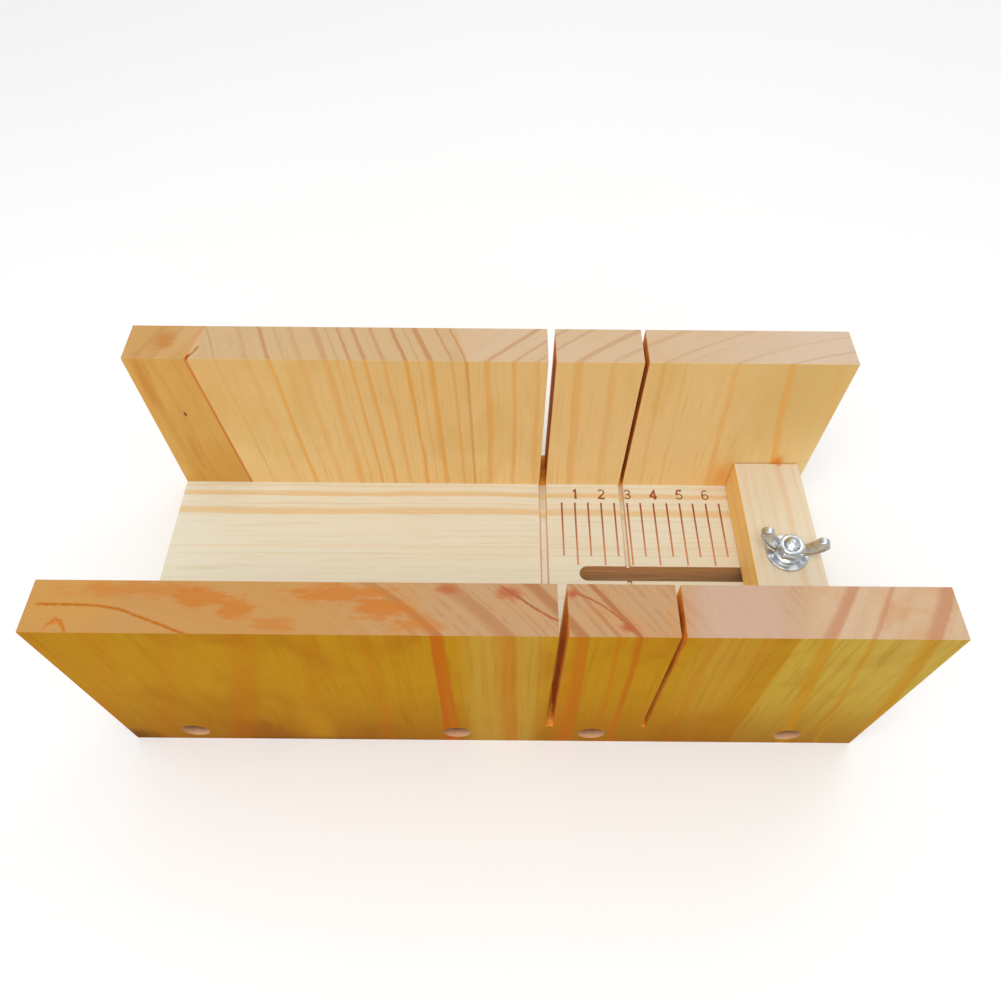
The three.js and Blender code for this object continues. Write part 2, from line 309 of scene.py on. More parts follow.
def wood(name, axes, reference, top, staves, look, stains_and_light=(), lines=()):
    """Solid wood: every face of the board shows the same rings, cut at its own angle.
    axes names the across, through and along directions. along is counted down from top.
    Stains and painted light and shade lie over the rings on the end grain, and under them on the side grain."""
    g = Graph(name)
    named = dict(zip("xyz", g.places()))
    along = g.math("SUBTRACT", top, named[axes[2]])
    places = across, through, along = named[axes[0]], named[axes[1]], along
    normal = g.node("ShaderNodeSeparateXYZ")
    g.tree.links.new(g.node("ShaderNodeNewGeometry").outputs["Normal"], normal.inputs[0])
    facing = g.math("ABSOLUTE", normal.outputs["xyz".index(axes[2])])
    end_grain = g.step(facing, 0.55, 0.85)

    streaks = g.noise(g.scaled(places, (1.1, 1.1, 0.035)), 4.0, 0.6)
    pores = g.noise(g.scaled(places, (3.2, 3.2, 0.16)), 3.0, 0.6)
    blotch = g.noise(g.scaled(places, look.blotch_scale), 3.0, 0.55, 0.6)
    wobble = g.noise(g.scaled(places, (0.18, 0.6, 0.05)), 4.0, 0.6)
    fleck = g.noise(g.scaled(places, (0.9, 0.9, 0.05)), 2.0, 0.5)

    board = None
    glue = 0.0
    for stave in staves:
        strong, faint = growth_rings(g, stave, reference, across, through, along)
        parts = [stave.side, stave.side_late, stave.end, stave.end_late, strong, faint]
        if board is None:
            board = parts
            continue
        start, per_through, per_along = stave.starts
        joint = g.math("MULTIPLY_ADD", g.math("SUBTRACT", through, reference), per_through, start)
        joint = g.math("MULTIPLY_ADD", along, per_along, joint)
        past = g.math("SUBTRACT", across, joint)
        here = g.step(past, -0.12, 0.12)
        near = g.step(past, -stave.blend, stave.blend)
        steps = [here, here, near, near, here, here]
        board = [g.mix(step, old, new) for step, old, new in zip(steps, board, parts)]
        line = g.step(g.math("ABSOLUTE", past), 0.7, 0.2)
        glue = g.math("MAXIMUM", glue, g.math("MULTIPLY", line, stave.glue))
    side, side_late, end, end_late, strong, faint = board

    patches = g.math("MULTIPLY", g.step(blotch, 0.48, 0.7), 0.5)
    side = g.mix(patches, side, look.blotch_side)
    end = g.mix(patches, end, look.blotch_end)
    end = g.mix(g.math("MAXIMUM", faint, strong), end, end_late)
    end = g.mix(g.math("MULTIPLY", glue, 0.35), end, GLUE_BROWN)
    for stain_or_light in stains_and_light:
        mask = stain_or_light_mask(g, places, wobble, stain_or_light)
        if stain_or_light.where != "end":
            side = g.mix(mask, side, stain_or_light.colour)
        if stain_or_light.where != "side":
            end = g.mix(mask, end, stain_or_light.colour)
    broken = g.math("MULTIPLY", strong, g.step(streaks, 0.15, 0.45))
    side = g.mix(g.math("MULTIPLY_ADD", faint, 0.3, broken, clamp=True), side, side_late)
    side = g.mix(glue, side, GLUE_BROWN)
    for line in lines:
        end = g.mix(line_mask(g, across, through, fleck, line), end, line.colour)
    side = g.mix(g.math("MULTIPLY", g.step(streaks, 0.48, 0.75), 0.45), side, look.streak)
    end = g.mix(g.math("MULTIPLY", g.step(pores, 0.48, 0.75), 0.55), end, look.pore)
    colour = g.mix(end_grain, side, end)
    # Painted highlight: the eased edges between face and end grain are lightened.
    edge_highlight = g.math("MULTIPLY", g.step(facing, 0.2, 0.45), g.step(facing, 0.98, 0.85))
    colour = g.mix(g.math("MULTIPLY", edge_highlight, 0.6), colour, look.edge)

    relief = g.math("MULTIPLY_ADD", strong, 0.5, g.math("MULTIPLY", streaks, 0.6))
    relief = g.math("MULTIPLY_ADD", pores, 0.35, relief)
    g.bump(relief, 0.1 * MM, 0.5)
    rough = g.math("MULTIPLY_ADD", streaks, 0.22, 0.42)
    rough = g.math("MULTIPLY_ADD", end_grain, 0.12, rough)
    return g.finish(colour, rough, Specular_IOR_Level=look.specular)


def rear_wall_wood():
    side, side_late = srgb(248, 216, 152), srgb(242, 174, 72)
    end, end_late = srgb(194, 164, 122), srgb(172, 112, 58)
    left = Stave(
        (-130, 0, 0),
        (-376, 181),
        [(-117, 3.5, 0.25), (-111, 2.5, 0.2), (-104, 1.2, 0.15)],
        [(-120, 0.05), (-100, 0.05)],
        (6.0, 0.12),
        srgb(219, 168, 80),
        srgb(202, 128, 40),
        srgb(190, 146, 86),
        srgb(164, 104, 46),
        0.0,
        0.1,
    )
    middle = Stave(
        (-99.6, 0.2, 0.07),
        (-613, -182),
        [
            (-90, 0.9, 0.4), (-80, 2.4, 0.25), (-73, 1.7, 0.6), (-68, 0.8, 0.3), (-63, 2.4, 0.25),
            (-55, 3.0, 0.4), (-51, 0.8, 0.35), (-47, 1.4, 0.6), (-42, 1.8, 0.6), (-36, 1.8, 0.45),
            (-29, 1.6, 0.75), (-25, 0.7, 0.4), (-21.5, 2.4, 0.65), (-14.5, 1.3, 0.5), (-9.9, 1.0, 0.6),
        ],
        [(-100, 0.07), (-10, 0.025)],
        (5.0, 0.12),
        side,
        side_late,
        end,
        end_late,
        0.85,
        0.1,
    )
    right = Stave(
        (-9.6, -0.3, 0.022),
        (148, -115),
        [
            (-3, 2.6, 0.5), (5.5, 1.8, 0.45), (13, 2.2, 0.35), (26.5, 3.8, 0.4), (38, 3.4, 0.25),
            (54, 1.8, 0.3), (61, 1.4, 0.2), (77, 2.4, 0.35), (95, 3.0, 0.6), (110, 3.0, 0.2),
        ],
        [(0, 0.01), (60, 0.03), (80, 0.06), (95, 0.14), (116, 0.2)],
        (6.0, 0.08),
        srgb(252, 221, 158),
        side_late,
        srgb(199, 172, 140),
        end_late,
        0.4,
        1.0,
    )
    look = Look(
        (0.04, 0.04, 0.02),
        srgb(234, 198, 118),
        srgb(198, 162, 116),
        srgb(230, 182, 108),
        srgb(174, 136, 100),
        srgb(240, 212, 160),
        0.2,
    )
    dark = srgb(206, 130, 44)
    honey = srgb(236, 184, 92)
    stains_and_light = [
        StainAndPaintedLight("side", (0, 40, 0), (None, None, 56), 0.3, 1.0, 0.3, honey),
        StainAndPaintedLight("side", (-110, 40, 0), (46, None, 70), 0.5, 1.0, 0.5, srgb(222, 168, 82)),
        StainAndPaintedLight("side", (106, 40, 12), (40, None, 64), 0.4, 0.9, 0.75, srgb(222, 184, 108)),
        StainAndPaintedLight("side", (-116, 40, 14), (3.5, None, 26), 2.2, 0.9, 0.5, dark),
        StainAndPaintedLight("side", (-111, 40, 48), (2.5, None, 16), 2.6, 0.9, 0.5, dark),
        StainAndPaintedLight("side", (-108, 40, 27), (0.7, None, 1.6), 0.5, 0.5, 0.9, srgb(120, 64, 24)),
        StainAndPaintedLight("side", (104, 40, 51), (3.2, None, 4.5), 0.8, 0.9, 0.9, srgb(236, 134, 20)),
        StainAndPaintedLight("side", (86, 40, 62), (7, None, 16), 0.5, 1.0, 0.6, srgb(244, 160, 36)),
        StainAndPaintedLight("end", (108, 48, 0), (46, None, None), 0.2, 0.9, 0.45, srgb(206, 188, 172)),
        StainAndPaintedLight("end", (-108, 48, 0), (5, 6, None), 1.4, 0.8, 0.7, srgb(180, 112, 44)),
    ]
    return wood("rear_wall_wood", "xyz", 40, 83, [left, middle, right], look, stains_and_light)


# The front wall's deep golden side colours are partly the board's own tone and partly painted shade.
def front_wall_wood():
    left = Stave(
        (-130, 0, 0),
        (-110, -160),
        [
            (-101, 13, 0.15), (-84, 7, 0.2), (-64, 9, 0.3), (-47, 6, 0.2), (-33, 5, 0.25),
            (-25, 1.5, 0.3), (-14, 4.2, 0.9), (3, 6.5, 0.5), (12, 1.2, 0.15), (22.5, 5, 0.7),
            (32, 1.8, 0.5), (37, 2.4, 0.8), (44, 1.4, 0.2), (56, 3.0, 0.3), (63, 1.5, 0.25),
            (69, 2.0, 0.25),
        ],
        [(-120, -0.34), (-85, -0.26), (-60, -0.2), (-40, -0.04), (-14, 0.03), (77, 0.02)],
        (2.2, 0.35),
        srgb(186, 135, 12),
        srgb(186, 102, 0),
        srgb(182, 146, 108),
        srgb(158, 98, 58),
        0.0,
        0.1,
    )
    right = Stave(
        (77.5, 0.35, 0.02),
        (-152, 110),
        [(84, 5.0, 0.7), (90, 1.0, 0.15), (95.5, 2.0, 0.55), (110.5, 5.5, 0.7)],
        [(77, 0.155), (120, 0.155)],
        (7.0, 0.15),
        srgb(192, 157, 52),
        srgb(194, 134, 10),
        srgb(197, 169, 138),
        srgb(178, 122, 90),
        0.12,
        9.0,
    )
    look = Look(
        (0.05, 0.05, 0.032),
        srgb(166, 102, 0),
        srgb(192, 136, 84),
        srgb(158, 108, 6),
        srgb(164, 112, 76),
        srgb(232, 190, 116),
        0.02,
    )
    orange = srgb(186, 112, 44)
    brown = srgb(150, 84, 0)
    khaki = srgb(192, 150, 54)
    red = srgb(168, 78, 40)
    stains_and_light = [
        StainAndPaintedLight("end", (-84, -47, 0), (90, None, None), 0.3, 0.7, 0.85, srgb(184, 138, 78)),
        StainAndPaintedLight("end", (64, -47, 0), (20, None, None), 0.2, 0.7, 0.75, srgb(192, 164, 146)),
        StainAndPaintedLight("end", (-112, -46, 0), (20, 16, None), 0.8, 0.8, 0.5, srgb(194, 142, 66)),
        StainAndPaintedLight("end", (-92, -42.5, 0), (24, 3.5, None), 1.8, 0.7, 0.6, orange),
        StainAndPaintedLight("end", (-76, -45, 0), (9, 4, None), 1.8, 0.6, 0.8, orange),
        StainAndPaintedLight("end", (-66, -48, 0), (6, 4, None), 1.8, 0.6, 0.8, orange),
        StainAndPaintedLight("end", (-56, -52.5, 0), (8, 3, None), 1.8, 0.7, 0.6, orange),
        StainAndPaintedLight("end", (-40, -43.5, 0), (17, 3.5, None), 1.8, 0.6, 0.8, orange),
        StainAndPaintedLight("end", (-29, -47.5, 0), (11, 4, None), 1.8, 0.6, 0.85, orange),
        StainAndPaintedLight("end", (-19, -52, 0), (8, 3.5, None), 1.8, 0.7, 0.6, orange),
        StainAndPaintedLight("end", (4, -43, 0), (5, 3, None), 1.4, 0.8, 0.7, red),
        StainAndPaintedLight("end", (20.5, -43, 0), (2.4, 2.2, None), 1.0, 0.9, 0.8, red),
        StainAndPaintedLight("end", (34, -52.3, 0), (2.6, 2.0, None), 1.0, 0.9, 0.8, red),
        StainAndPaintedLight("end", (-12, -42, 0), (4.5, 2.0, None), 1.4, 0.8, 0.6, red),
        # Painted shade: the front face darkens towards its bottom.
        StainAndPaintedLight("side", (0, -55, 92), (None, None, 62), 0.3, 1.0, 0.75, srgb(152, 90, 0)),
        StainAndPaintedLight("side", (112, -55, 0), (42, None, 70), 0.3, 1.0, 0.7, srgb(196, 166, 74)),
        StainAndPaintedLight("side", (3, -55, 40), (14, None, None), 0.3, 0.5, 0.8, khaki),
        StainAndPaintedLight("side", (62, -55, 20), (15, None, 60), 0.3, 0.8, 0.5, khaki),
        StainAndPaintedLight("side", (-57, -55, 70), (7, None, 30), 0.6, 0.8, 0.7, srgb(190, 142, 18)),
        StainAndPaintedLight("side", (-77, -55, 83), (15, None, 26), 0.7, 0.6, 0.8, brown),
        StainAndPaintedLight("side", (-40, -55, 86), (14, None, 34), 1.0, 0.9, 0.45, brown),
        # Painted contact shade along the bottom edge, deepest at the left corner.
        StainAndPaintedLight("side", (-120, -55, 83), (16, None, 13), 0.8, 0.8, 0.9, srgb(110, 62, 0)),
        StainAndPaintedLight("side", (-60, -55, 83), (62, None, 5), 0.6, 1.0, 0.6, srgb(116, 68, 0)),
        StainAndPaintedLight("side", (22, -55, 60), (4, None, 60), 0.8, 0.9, 0.5, srgb(196, 96, 0)),
        StainAndPaintedLight("side", (-15, -55, 40), (1.7, None, None), 0.6, 0.6, 0.8, srgb(188, 84, 0)),
    ]
    crack = srgb(174, 102, 30)
    lines = [
        Line([(-119, -47), (-104, -47.2), (-98, -47.6), (-91, -50), (-83, -53.2), (-77, -55.6)], 0.6, crack),
        Line([(-115, -56.5), (-113, -52.6), (-111, -51), (-109, -52.6), (-107, -56.5)], 1.1, orange),
        Line([(0, -39.5), (5, -43), (11, -47.5), (18, -52)], 0.6, srgb(158, 94, 58)),
        Line([(20, -41.5), (28, -46), (34, -51.5), (38, -56)], 0.5, srgb(164, 98, 56)),
    ]
    return wood("front_wall_wood", "xyz", -55, 83, [left, right], look, stains_and_light, lines)


def base_board_wood():
    plank = Stave(
        (-60, 0, 0),
        (125, -60),
        [
            (38.6, 1.2, 0.3), (35, 2.8, 0.75), (30.4, 1.0, 0.3), (27.2, 4.0, 0.7), (16, 0.7, 0.2),
            (11.5, 1.0, 0.3), (8.2, 0.8, 0.25), (2.5, 0.8, 0.2), (-9, 1.2, 0.3), (-18, 1.6, 0.4),
            (-27, 1.4, 0.35), (-34, 2.0, 0.5),
        ],
        [(-60, 0.0), (60, 0.0)],
        (4.2, 0.06),
        srgb(220, 216, 196),
        srgb(218, 182, 122),
        srgb(214, 196, 164),
        srgb(196, 156, 108),
        0.0,
        0.1,
    )
    look = Look(
        (0.05, 0.05, 0.012),
        srgb(218, 208, 182),
        srgb(204, 178, 140),
        srgb(204, 188, 154),
        srgb(182, 150, 116),
        srgb(228, 208, 170),
        0.3,
    )
    groove_edge_shade = srgb(206, 126, 78)
    soft_brown = srgb(196, 152, 108)
    # Painted shade, warmed by bounce light, on the bed by the rear wall beside the stop block.
    stains_and_light = [StainAndPaintedLight("side", (90, 16, 33), (66, None, 13), 0.3, 0.8, 0.35, srgb(224, 186, 130))]
    for centre, width in SAW_SLOTS:
        along = 116 - centre / MM
        half = width / 2 / MM
        # Painted shade along both edges of each saw groove.
        for edge in (along - half, along + half):
            stains_and_light.append(StainAndPaintedLight("side", (0, 15.4, edge), (None, 1.1, 0.5), 0.6, 0.6, 0.7, groove_edge_shade))
        stains_and_light.append(StainAndPaintedLight("side", (46, 15, along), (24, 0.6, half), 0.4, 0.6, 0.6, soft_brown))
    return wood("base_board_wood", "yzx", 16, 116, [plank], look, stains_and_light)


def stop_block_wood():
    billet = Stave(
        (0, 0, 0),
        (-40, 300),
        [(91, 2.0, 0.25), (94.2, 0.9, 0.25), (99.5, 1.6, 0.15), (104, 3.2, 0.4), (109.5, 1.6, 0.2)],
        [(80, 0.012), (120, 0.012)],
        (3.1, 0.06),
        srgb(217, 203, 177),
        srgb(212, 172, 126),
        srgb(220, 196, 158),
        srgb(202, 160, 110),
        0.0,
        0.1,
    )
    look = Look(
        (0.06, 0.06, 0.02),
        srgb(212, 196, 164),
        srgb(208, 180, 140),
        srgb(208, 184, 146),
        srgb(190, 154, 118),
        srgb(240, 214, 164),
        0.3,
    )
    stains_and_light = [
        # Painted warm bounce light on the block's left face.
        StainAndPaintedLight("side", (88, 31, 0), (1.1, None, None), 0.1, 0.4, 1.0, srgb(255, 212, 130)),
        StainAndPaintedLight("side", (105, 31, 0.5), (1.5, None, 1.6), 0.5, 0.7, 0.8, srgb(216, 104, 40)),
    ]
    return wood("stop_block_wood", "xzy", 31, 40, [billet], look, stains_and_light)


def scorched_wood(name, dark, pale, scales):
    """Wood browned by a blade, a cutter or a laser: streaks of two browns along the cut."""
    g = Graph(name)
    streaks = g.noise(g.scaled(g.places(), scales), 4.0, 0.65)
    colour = g.mix(g.step(streaks, 0.35, 0.7), dark, pale)
    g.bump(streaks, 0.15 * MM, 0.6)
    return g.finish(colour, g.math("MULTIPLY_ADD", streaks, 0.2, 0.55), Specular_IOR_Level=0.25)


def screw_hole_painted_shade():
    """The inside of a wall's screw holes: cut clean at the mouth, with painted shade deepening within."""
    g = Graph("screw_hole_painted_shade")
    x, y, z = g.places()
    streaks = g.noise(g.scaled((x, y, z), (0.9, 0.2, 0.9)), 3.0, 0.6)
    depth = g.math("SUBTRACT", OUTER_FACE / MM, g.math("ABSOLUTE", y))
    depth = g.math("MULTIPLY_ADD", g.math("SUBTRACT", streaks, 0.5), 1.5, depth)
    # Painted shade: pale wood at the hole's mouth, darkening with depth into it.
    colour = g.mix(g.step(depth, 0.3, 4.0), srgb(216, 168, 128), srgb(104, 58, 30))
    g.bump(streaks, 0.1 * MM, 0.5)
    return g.finish(colour, 0.7, Specular_IOR_Level=0.2)


def engraving_scorch():
    """The laser's line: dark where it starts, at the far end of a tick, and paler towards its end."""
    g = Graph("engraving_scorch")
    x, y, z = g.places()
    speck = g.noise(g.scaled((x, y, z), (1.4, 0.9, 1.4)), 3.0, 0.6)
    fade = g.math("MULTIPLY", g.step(y, 33.0, 6.0), 0.75)
    level = g.math("MULTIPLY_ADD", g.math("SUBTRACT", speck, 0.5), 0.9, fade, clamp=True)
    colour = g.mix(level, srgb(158, 84, 48), srgb(224, 160, 116))
    g.bump(speck, 0.1 * MM, 0.5)
    return g.finish(colour, g.math("MULTIPLY_ADD", speck, 0.2, 0.6), Specular_IOR_Level=0.2)


# ---------------------------------------------------------------- metal


def zinc_plate(name, bright, dull, roughness):
    """Plated steel: bright, with a faint mottle."""
    g = Graph(name)
    mottle = g.noise(g.scaled(g.places(), (0.6, 0.6, 0.6)), 2.0, 0.5)
    colour = g.mix(g.step(mottle, 0.4, 0.7), bright, dull)
    rough = g.math("MULTIPLY_ADD", mottle, 0.1, roughness)
    return g.finish(colour, rough, Metallic=1.0)


# ---------------------------------------------------------------- mesh tools


def object_from(bm, name):
    bmesh.ops.recalc_face_normals(bm, faces=bm.faces)
    mesh = bpy.data.meshes.new(name)
    bm.to_mesh(mesh)
    bm.free()
    made = bpy.data.objects.new(name, mesh)
    bpy.context.scene.collection.objects.link(made)
    return made


def applied(obj):
    """The object with its modifiers turned into mesh."""
    depsgraph = bpy.context.evaluated_depsgraph_get()
    mesh = bpy.data.meshes.new_from_object(obj.evaluated_get(depsgraph))
    old = obj.data
    obj.modifiers.clear()
    obj.data = mesh
    bpy.data.meshes.remove(old)
    return obj


def cut_out(obj, tools):
    """obj less each tool. The tools are used up."""
    for tool in tools:
        modifier = obj.modifiers.new("cut", "BOOLEAN")
        modifier.operation = "DIFFERENCE"
        modifier.solver = "EXACT"
        modifier.object = tool
    applied(obj)
    for tool in tools:
        bpy.data.objects.remove(tool)
    return obj


def add_stroke(bm, points, widths, low, high, closed=False):
    """A band along (x, y) points, as wide as widths say, standing from low to high. The last corner
    of an open band comes out twice as wide."""
    points = [Vector(point) for point in points]
    count = len(points)
    rows = []
    for i, point in enumerate(points):
        before = points[i - 1] if i > 0 or closed else point
        after = points[(i + 1) % count] if i < count - 1 or closed else point
        into, out = (point - before).normalized(), (after - point).normalized()
        middle = (into + out).normalized()
        side = Vector((-middle.y, middle.x)) * widths[i] / 2 / max(0.5, abs(middle.dot(out)))
        left, right = point + side, point - side
        corners = (left, low), (right, low), (right, high), (left, high)
        rows.append([bm.verts.new((*place, z)) for place, z in corners])
    pairs = list(zip(rows, rows[1:]))
    if closed:
        pairs.append((rows[-1], rows[0]))
    for first, second in pairs:
        for i in range(4):
            j = (i + 1) % 4
            bm.faces.new((first[i], first[j], second[j], second[i]))
    if not closed:
        bm.faces.new(rows[0])
        bm.faces.new(rows[-1])


def ring(bm, radius, height, count):
    """Vertices round the Z axis. A radius of zero gives one vertex."""
    if radius == 0:
        return [bm.verts.new((0, 0, height))]
    angles = (i * math.tau / count for i in range(count))
    return [bm.verts.new((radius * math.cos(a), radius * math.sin(a), height)) for a in angles]


def bridge(bm, lower, upper):
    """Faces between two rings of vertices, either of which may be a single vertex."""
    count = max(len(lower), len(upper))
    for i in range(count):
        j = (i + 1) % count
        corners = [lower[i % len(lower)], lower[j % len(lower)], upper[j % len(upper)], upper[i % len(upper)]]
        bm.faces.new(list(dict.fromkeys(corners)))


def turned(profile, count=64):
    """A closed solid from (radius, height) points, turned about Z. The first and last are on the
    axis, or the profile is a loop whose first point is repeated at its end."""
    bm = bmesh.new()
    closed = profile[0] == profile[-1]
    rings = [ring(bm, radius, height, count) for radius, height in (profile[:-1] if closed else profile)]
    if closed:
        rings.append(rings[0])
    for lower, upper in zip(rings, rings[1:]):
        bridge(bm, lower, upper)
    return bm


def thread_profile(phase, depth):
    """How far a 60 degree thread is cut in at this phase of its pitch, with flats at both ends."""
    ramp = abs((phase % 1.0) * 2 - 1)
    return depth * min(max((ramp - 0.15) / 0.7, 0.0), 1.0)


def threaded_rod(radius, pitch, depth, stations, count):
    """A rod along Z with a real helical thread, through (height, scale) stations."""
    bm = bmesh.new()
    rings = []
    for height, scale in stations:
        verts = []
        for i in range(count):
            angle = i * math.tau / count
            cut = thread_profile(height / pitch - i / count, depth)
            reach = (radius - cut) * scale
            verts.append(bm.verts.new((reach * math.cos(angle), reach * math.sin(angle), height)))
        rings.append(verts)
    for lower, upper in zip(rings, rings[1:]):
        bridge(bm, lower, upper)
    bm.faces.new(rings[0])
    bm.faces.new(rings[-1])
    return bm


def even_steps(low, high, step):
    """Heights from low to high, about one step apart."""
    count = round((high - low) / step)
    return [low + (high - low) * i / count for i in range(count + 1)]


def join_into(bm, other):
    """other's mesh added to bm. other is used up."""
    mesh = bpy.data.meshes.new("part")
    other.to_mesh(mesh)
    bm.from_mesh(mesh)
    bpy.data.meshes.remove(mesh)
    other.free()


def smooth(obj, angle=SHARP_ANGLE):
    """Smooth shading that keeps the edges sharper than angle, with flat faces left flat."""
    for polygon in obj.data.polygons:
        polygon.use_smooth = True
    obj.data.set_sharp_from_angle(angle=angle)
    weighted = obj.modifiers.new("weighted", "WEIGHTED_NORMAL")
    weighted.keep_sharp = True
    return applied(obj)


def piece(obj, body, node):
    """obj rides on a body and stands for a CAD node, which is hidden."""
    obj.name = node + "_shape"
    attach(obj, body)
    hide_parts(node)
    return obj


def plain_piece(bm, body, node, material):
    """A piece that is all of one material."""
    made = smooth(object_from(bm, node))
    made.data.materials.append(material)
    return piece(made, body, node)


# ---------------------------------------------------------------- boards


def on_plane(edge, axis, value):
    return all(abs(vert.co[axis] - value) < 0.01 * MM for vert in edge.verts)


def flat_faced(node):
    """The CAD node's shape with the triangles of each flat face joined again."""
    bm = bmesh.new()
    bm.from_mesh(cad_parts[node].data)
    bmesh.ops.remove_doubles(bm, verts=bm.verts, dist=0.002 * MM)
    bmesh.ops.dissolve_limit(bm, angle_limit=FLAT_ANGLE, verts=bm.verts, edges=bm.edges)
    return bm


def ease_edges(bm, planes, amount=EDGE_EASE, keep_sharp=lambda middle: False):
    """Rounds the sharp edges that lie on any of these (axis, value) planes, except where
    keep_sharp says so of the edge's middle."""
    edges = []
    for edge in bm.edges:
        sharp = edge.is_manifold and edge.calc_face_angle() > SHARP_ANGLE
        middle = (edge.verts[0].co + edge.verts[1].co) / 2
        if sharp and any(on_plane(edge, *plane) for plane in planes) and not keep_sharp(middle):
            edges.append(edge)
    bmesh.ops.bevel(
        bm,
        geom=edges,
        offset=amount,
        offset_type="OFFSET",
        segments=3,
        profile=0.5,
        affect="EDGES",
        clamp_overlap=True,
    )


def outer_planes(low, high):
    return [(axis, corner[axis]) for axis in range(3) for corner in (low, high)]


def in_saw_slot(x, margin):
    return any(abs(x - centre) < width / 2 + margin for centre, width in SAW_SLOTS)


def paint(obj, materials, choose):
    """Gives each face the material whose place in the list choose(centre) says."""
    obj.data.materials.clear()
    for material in materials:
        obj.data.materials.append(material)
    for polygon in obj.data.polygons:
        polygon.material_index = choose(polygon.center)


def wall(node, low, high, materials, cracks=()):
    """A wall board. materials are for its wood, its saw cuts and its screw holes."""
    bm = flat_faced(node)
    ease_edges(bm, outer_planes(low, high))
    made = object_from(bm, node)
    for points, widths in cracks:
        tool = bmesh.new()
        add_stroke(tool, points, widths, high.z - CRACK_DEPTH, high.z + MM)
        cut_out(made, [object_from(tool, "crack_tool")])
    smooth(made)

    def choose(centre):
        inside = low.y + EDGE_EASE < centre.y < high.y - EDGE_EASE
        if in_saw_slot(centre.x, 0.05 * MM) and centre.z > SAW_FLOOR - 0.1 * MM and inside:
            return 1
        in_row = low.x + END_MARGIN < centre.x < high.x - END_MARGIN
        in_hole = in_row and abs(centre.z - SCREW_HEIGHT) < SCREW_HOLE_REACH
        return 2 if in_hole and inside else 0

    paint(made, materials, choose)
    return piece(made, "box", node)


def on_ruler(place):
    """Whether a place on the base board is among the ruler's ticks and numerals."""
    clear = not in_saw_slot(place.x, 0.3 * MM)
    return clear and place.x > RULER_ZERO + 2 * MM and RULER_NEAR < place.y < RULER_FAR


def arc(centre, reach, start, end):
    """Points on an ellipse, from one angle to the other, in degrees."""
    steps = max(4, round(abs(end - start) / 12))
    angles = (math.radians(start + (end - start) * i / steps) for i in range(steps + 1))
    return [(centre[0] + reach[0] * math.cos(a), centre[1] + reach[1] * math.sin(a)) for a in angles]


def numeral_strokes():
    """The middle lines of each numeral's strokes, in a frame one numeral high."""
    return {
        1: [[(-0.17, 0.72), (0.03, 0.93)], [(0.03, 1.0), (0.03, 0.0)]],
        2: [arc((0, 0.7), (0.235, 0.235), 165, -38) + [(-0.21, 0.1)], [(-0.28, 0.065), (0.27, 0.065)]],
        3: [
            arc((0, 0.71), (0.215, 0.225), 160, -75),
            [(-0.08, 0.49)] + arc((0, 0.275), (0.245, 0.21), 80, -160),
        ],
        4: [[(-0.3, 0.265), (0.3, 0.265)], [(0.13, 0.98), (-0.25, 0.28)], [(0.13, 1.0), (0.13, 0.0)]],
        5: [
            [(-0.17, 0.935), (0.24, 0.935)],
            [(-0.13, 0.97), (-0.19, 0.46)],
            arc((-0.005, 0.32), (0.245, 0.255), 140, -155),
        ],
        6: [arc((0, 0.3), (0.235, 0.235), 0, 348), arc((0.015, 0.5), (0.25, 0.435), 50, 205)],
    }


def numeral_tools():
    """Cutters for the numerals over the whole centimetres. Crossing strokes are cut one by one."""
    layers = [bmesh.new() for _ in range(3)]
    for number, strokes in numeral_strokes().items():
        x = RULER_ZERO + number * CENTIMETRE + DIGIT_SHIFT
        for layer, stroke in enumerate(strokes):
            points = [(x + px * DIGIT_HEIGHT, DIGIT_BOTTOM + py * DIGIT_HEIGHT) for px, py in stroke]
            loop = number == 6 and layer == 0
            low = BED - ENGRAVING_DEPTH - layer * 0.01 * MM
            add_stroke(layers[layer], points, [DIGIT_STROKE] * len(points), low, BED + MM, loop)
    return [object_from(bm, "numeral_tool") for bm in layers]


def base_board(materials):
    """The base board. materials are for its wood, the ruler's engraving and the clamp slot."""
    bm = flat_faced("base_board")
    ease_edges(bm, outer_planes(BASE_LOW, BASE_HIGH), BASE_EDGE_EASE, on_ruler)
    made = object_from(bm, "base_board")
    for tool in numeral_tools():
        cut_out(made, [tool])
    smooth(made)

    def choose(centre):
        depth = BED - centre.z
        if on_ruler(centre) and 0.02 * MM < depth < RULER_DEEPEST:
            return 1
        first, last = CLAMP_SLOT_REACH
        near_slot = abs(centre.y - CLAMP_Y) < CLAMP_SLOT_SIDE and first < centre.x < last
        return 2 if near_slot and depth > 0.3 * MM and centre.z > 0.1 * MM else 0

    paint(made, materials, choose)
    return piece(made, "box", "base_board")


def stop_block(material):
    bm = flat_faced("stop_block")
    ease_edges(bm, outer_planes(STOP_LOW, STOP_HIGH))
    return plain_piece(bm, "stop", "stop_block", material)


# ---------------------------------------------------------------- fasteners

BOLT_RADIUS = 2.48 * MM
BOLT_HEAD_HEIGHT = 2.7 * MM
BOLT_NECK_HEIGHT = 3.0 * MM
BOLT_TIP_HEIGHT = 1.25 * MM
BOLT_PITCH = 0.8 * MM
BOLT_THREAD_DEPTH = 0.42 * MM
SCREW_HEAD_HEIGHT = 2.2 * MM
SCREW_SHANK = 1.95 * MM
SCREW_POINT = 5 * MM
SCREW_PITCH = 1.6 * MM
SCREW_THREAD_DEPTH = 0.5 * MM
SCREW_RECESS = (4.4 * MM, 0.9 * MM, 2.6 * MM)
SCREW_RECESS_TURN = 0.3
SCREW_RECESS_TAPER = 0.35
WASHER_HOLE_RADIUS = 2.8 * MM
WASHER_EASE = 0.28 * MM
NUT_VOXEL = 0.13 * MM
NUT_TURN = math.radians(-13)
WING_REACH = 11.35 * MM
WING_TIP_RADIUS = 2.3 * MM
CURVE_STEPS = 14


